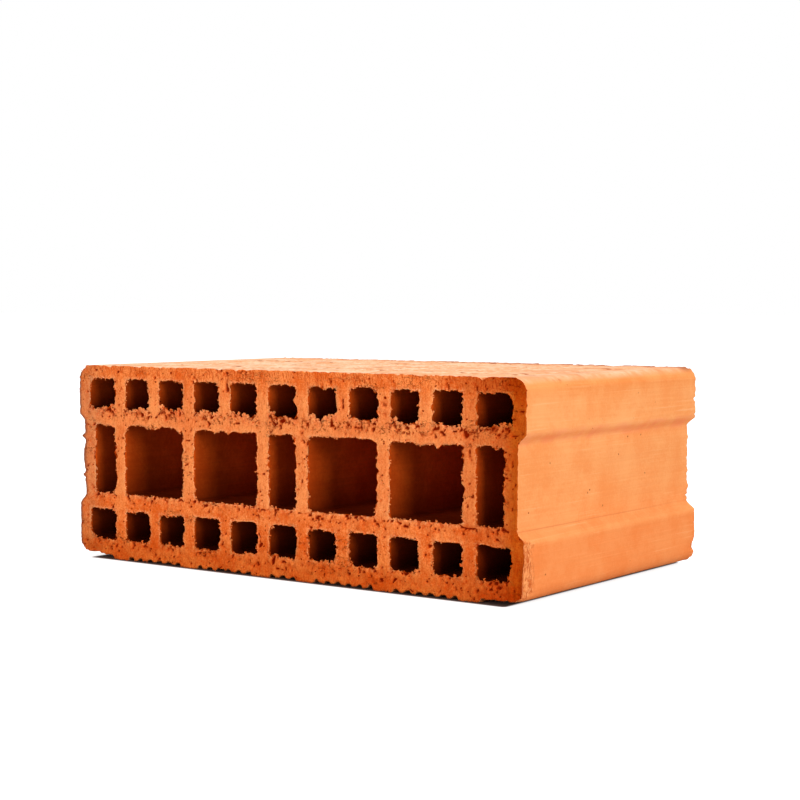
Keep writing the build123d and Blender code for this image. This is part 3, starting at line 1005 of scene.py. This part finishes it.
# Painted shade makes the walls duller near the mouths.
mouth = calc("ABSOLUTE", y)
in_middle = remap(apart(z, MIDDLE_ROW_HEIGHT), 0.027, 0.024)
near_mouth = blend_values(in_middle, remap(mouth, 0.032, 0.072), remap(mouth, 0.05, 0.082))
tone = tinted(near_mouth, tone, MOUTH_SHADE_TINT)
tone = tinted(remap(z, 0.04, 0.031), tone, LOW_ROW_TINT)
tone = tinted(remap(x, 0.1, 0.135), tone, RIGHT_TINT)
# Painted shade at the feet of the walls and on the cells' floors.
tone = tinted(remap(carried(tree, "foot"), 0.3, 1.0), tone, WALL_FOOT_SHADE_TINT)
floors = product(remap(upward(tree), 0.05, 0.75), remap(in_middle, 0.0, 1.0, 0.93, 0.45))
tone = mix(floors, tone, CELL_FLOOR_SHADE)
tone = mix(remap(mouth, 0.0932, 0.0954), tone, LIP)
feed(inputs["Base Color"], tone)
relief(inputs, drawn, 0.12, 0.0003)
print(cell_clay.name, len(tree.nodes), "nodes")

# %% [markdown]
# The crumbs of each cut face become one piece, in their own paler clay, whose pallor is a painted highlight.

# %% The crumbs as pieces
finish_piece(crumbs_of_front, "front_crumbs", (crumb_clay,))
finish_piece(crumbs_of_back, "back_crumbs", (crumb_clay,))

# %% [markdown]
# The camera stands where the photo was taken from. Its place and lens come from a fit of the CAD sizes to
# the corners, lands and cells that the photo shows.

# %% The camera
camera_data = bpy.data.cameras.new("camera")
camera_data.sensor_width = 36.0
camera_data.lens = 78.5
camera = new_object("camera", camera_data)
camera.location = (0.6425, -0.8583, 0.1581)
looking = Vector((-0.5900, 0.8055, -0.05515))
camera.rotation_euler = looking.to_track_quat("-Z", "Y").to_euler()
bpy.context.scene.camera = camera
print("camera", round(camera.location.length, 3), "m away")

# %% [markdown]
# The brick lies on white with a thin dark line under it. The floor's colour is painted dark close to the
# brick's outline, a painted contact shadow, and its glow, for the camera alone, rises so that it gets white
# within millimetres. The outline is taken 14 mm short at the ends, because light gets in under their rounded
# feet.

# %% The white floor
SHORT_OF_END = 14.0
OUTLINE = ((HALF_LENGTH - SHORT_OF_END) * MM, HALF_COURSE * MM, 0)
CONTACT_SHADOW_TONES, FLOOR_TONE = (0.07, 0.032, 0.02), 0.45
WHITE = (1, 1, 1, 1)

floor_material = bpy.data.materials.new("white_floor")
floor_material.use_nodes = True
tree = floor_material.node_tree
inputs = tree.nodes["Principled BSDF"].inputs
inputs["Roughness"].default_value = 0.9
inputs["Emission Color"].default_value = WHITE


def seen_directly(tree):
    """1 for what the camera sees, itself, through glass or in a mirror."""
    path = add(tree, "LightPath").outputs
    clear = calc("MAXIMUM", path["Is Glossy Ray"], path["Is Transmission Ray"])
    return calc("MAXIMUM", path["Is Camera Ray"], clear)


away = vector_calc("SUBTRACT", vector_calc("ABSOLUTE", object_place(tree)), OUTLINE)
away = vector_calc("MAXIMUM", away, (0, 0, 0))
away = add(tree, "VectorMath", {0: away}, operation="LENGTH").outputs["Value"]
glow = calc("ADD", remap(away, 0.001, 0.0045, 0.0, 0.85), remap(away, 0.004, 0.020, 0.0, 0.15))
feed(inputs["Emission Strength"], product(glow, seen_directly(tree)))
# A painted contact shadow: the floor's colour is dark under and next to the brick.
shade = {number: remap(away, 0.001, 0.004, dark, FLOOR_TONE) for number, dark in enumerate(CONTACT_SHADOW_TONES)}
feed(inputs["Base Color"], add(tree, "CombineColor", shade).outputs[0])
bm = bmesh.new()
bmesh.ops.create_grid(bm, x_segments=1, y_segments=1, size=20)
floor_mesh = bpy.data.meshes.new("floor")
bm.to_mesh(floor_mesh)
bm.free()
floor_mesh.materials.append(floor_material)
floor = new_object("floor", floor_mesh)
print("floor", tuple(floor.dimensions))

# %% [markdown]
# Soft lamps from the right, the front and above light the end, the cut face and the top. The world fills the
# shadows faintly, and is white only where it is seen directly.

# %% World and lamps
WORLD_FILL = 0.34
world = bpy.data.worlds.new("world")
bpy.context.scene.world = world
world.use_nodes = True
sky = world.node_tree
back = sky.nodes["Background"].inputs
back["Color"].default_value = WHITE
feed(back["Strength"], remap(seen_directly(sky), 0.0, 1.0, WORLD_FILL, 1.0))


def add_lamp(name, place, target, size, watts):
    """A square soft lamp that looks at the target."""
    data = bpy.data.lights.new(name, "AREA")
    data.size = size
    data.energy = watts
    lamp = new_object(name, data)
    lamp.location = place
    lamp.rotation_euler = (Vector(target) - Vector(place)).to_track_quat("-Z", "Y").to_euler()
    print(name, watts, "W")


add_lamp("key_from_the_right", (1.7, -0.5, 0.50), (0, 0, 0.06), 0.7, 17)
add_lamp("front_fill", (-0.2, -1.9, 0.40), (0, 0, 0.06), 0.7, 17)
add_lamp("top_light", (0.0, 0.40, 1.8), (0, 0, 0.1), 1.2, 23)
bpy.context.scene.view_settings.view_transform = "Standard"
